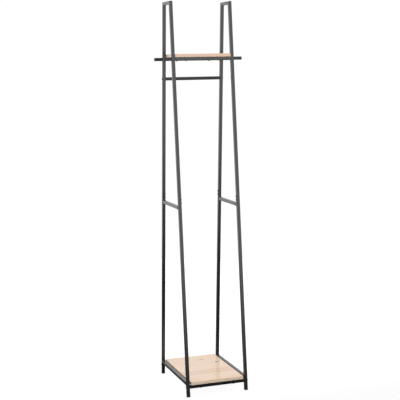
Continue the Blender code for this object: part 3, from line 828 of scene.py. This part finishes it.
board_piece("base_board", BASE_WOOD)
board_piece("shelf_board", SHELF_WOOD)
print("boards:", sum(name.endswith("_plank") for name in MADE))

# %% [markdown]
# ## CAD pieces that stay
#
# The spigots inside the seams and the screws under the boards already have the right shape. They
# keep their CAD meshes and only get a better finish.

# %% Finishes for the carried-over nodes
SPIGOT_STEEL = dark_finish("spigot_black_oxide", (0.020, 0.020, 0.021, 1.0), (0.06, 0.06, 0.06, 1.0),
                           roughness=0.5, grain_height=0.04 * MILLIMETRE, rub_and_highlight=0.0, dust=0.0, metallic=0.4)
kept = [name for name, node in NODES.items() if not node.hide_render]
for name in kept:
    is_spigot = name.endswith("spigot")
    finish = SPIGOT_STEEL if is_spigot else BOLT_BLACK
    for index in range(len(NODES[name].material_slots)):
        NODES[name].material_slots[index].material = finish
print("kept CAD nodes:", sorted(kept))

# %% [markdown]
# ## Floor, light and camera
#
# The hall tree stands in a plain pale studio. Soft light comes from all round, and black satin
# steel shows little but what it mirrors. The floor looks white to the camera while it sends only
# a little light back up, less in front than behind, so the undersides of the rails and the
# lowest part of the legs stay dark. One large soft light from the front left adds some shape.

# %% Studio
view_settings = bpy.context.scene.view_settings
view_settings.view_transform = "Standard"
view_settings.look = "None"

FLOOR_RADIUS = 3.2
FLOOR_FRONT = (0.02, 0.02, 0.02, 1.0)
FLOOR_REAR = (0.26, 0.26, 0.26, 1.0)
FLOOR_BLEND = 0.6          # the two tones blend over this distance on each side of the middle
FLOOR_GLOW = 0.95          # seen by the camera only
FRONT_LIGHT = 1.36
REAR_LIGHT = 1.20
OVERHEAD_SHARE = 0.62
BACKDROP = 1.02            # seen by the camera only


def studio_floor():
    """A round floor, plain and pale."""
    disc = bmesh.new()
    bmesh.ops.create_circle(disc, cap_ends=True, segments=96, radius=FLOOR_RADIUS)
    mesh = bpy.data.meshes.new("studio_floor")
    disc.to_mesh(mesh)
    disc.free()
    floor = bpy.data.objects.new("studio_floor", mesh)
    bpy.context.scene.collection.objects.link(floor)
    material = bpy.data.materials.new("pale_floor")
    material.use_nodes = True
    tree = material.node_tree
    shader = tree.nodes["Principled BSDF"]
    place = add_node(tree, "SeparateXYZ", {0: add_node(tree, "TexCoord").outputs["Object"]}).outputs["Y"]
    toward_rear = spread(tree, place, -FLOOR_BLEND, FLOOR_BLEND)
    tree.links.new(blend_colours(tree, toward_rear, FLOOR_FRONT, FLOOR_REAR), shader.inputs["Base Color"])
    shader.inputs["Roughness"].default_value = 0.9
    shader.inputs["Specular IOR Level"].default_value = 0.0
    seen = add_node(tree, "LightPath").outputs["Is Camera Ray"]
    glow = add_node(tree, "Emission", {"Color": (1.0, 1.0, 1.0, 1.0),
                                       "Strength": calc(tree, "MULTIPLY", seen, FLOOR_GLOW)})
    both = add_node(tree, "AddShader", {0: shader.outputs[0], 1: glow.outputs[0]})
    tree.links.new(both.outputs[0], tree.nodes["Material Output"].inputs["Surface"])
    mesh.materials.append(material)


studio_floor()

world = bpy.data.worlds.new("studio_world")
bpy.context.scene.world = world
world.use_nodes = True
world_tree = world.node_tree
direction = add_node(world_tree, "TexCoord").outputs["Generated"]
toward = add_node(world_tree, "SeparateXYZ", {0: direction}).outputs
behind = spread(world_tree, toward["Y"], -0.3, 0.9, FRONT_LIGHT, REAR_LIGHT)
overhead = spread(world_tree, toward["Z"], 0.1, 0.9, 1.0, OVERHEAD_SHARE)
room = calc(world_tree, "MULTIPLY", behind, overhead)
seen = add_node(world_tree, "LightPath").outputs["Is Camera Ray"]
brightness = add_node(world_tree, "Mix", {0: seen, 2: room, 3: BACKDROP}, data_type="FLOAT").outputs[0]
backdrop = world_tree.nodes["Background"]
backdrop.inputs["Color"].default_value = (1.0, 1.0, 1.0, 1.0)
world_tree.links.new(brightness, backdrop.inputs["Strength"])


def soft_light(name, where, target, width, height, power):
    """A large rectangular area light that looks at a point."""
    lamp = bpy.data.lights.new(name, "AREA")
    lamp.shape = "RECTANGLE"
    lamp.size = width
    lamp.size_y = height
    lamp.energy = power
    light = bpy.data.objects.new(name, lamp)
    light.location = where
    light.rotation_euler = (Vector(target) - Vector(where)).to_track_quat("-Z", "Y").to_euler()
    bpy.context.scene.collection.objects.link(light)


soft_light("soft_key", (-2.0, -3.0, 3.2), (0.0, 0.0, 1.0), 2.4, 2.4, 14.0)
print("studio ready")

# %% Camera
SENSOR = 36.0
CAMERA_PLACE = Vector((-1.5347, -4.4764, 1.4961))
CAMERA_YAW = 0.33003       # from +Y towards +X
CAMERA_PITCH = -0.12922
CAMERA_ROLL = -0.01766
FOCAL_SHARE = 2.53231      # focal length in frame widths

forward = Vector((math.sin(CAMERA_YAW) * math.cos(CAMERA_PITCH),
                  math.cos(CAMERA_YAW) * math.cos(CAMERA_PITCH), math.sin(CAMERA_PITCH)))
level_right = Vector((math.cos(CAMERA_YAW), -math.sin(CAMERA_YAW), 0.0))
level_up = level_right.cross(forward)
right = math.cos(CAMERA_ROLL) * level_right + math.sin(CAMERA_ROLL) * level_up
up = math.cos(CAMERA_ROLL) * level_up - math.sin(CAMERA_ROLL) * level_right
camera_data = bpy.data.cameras.new("camera")
camera_data.sensor_width = SENSOR
camera_data.lens = FOCAL_SHARE * SENSOR
camera = bpy.data.objects.new("camera", camera_data)
turn = Matrix((right, up, -forward)).transposed().to_4x4()
camera.matrix_world = Matrix.Translation(CAMERA_PLACE) @ turn
bpy.context.scene.collection.objects.link(camera)
bpy.context.scene.camera = camera
print("camera lens {:.1f} mm".format(camera_data.lens))

# %% Finish
print("pieces made:", len(MADE))
bpy.context.view_layer.update()
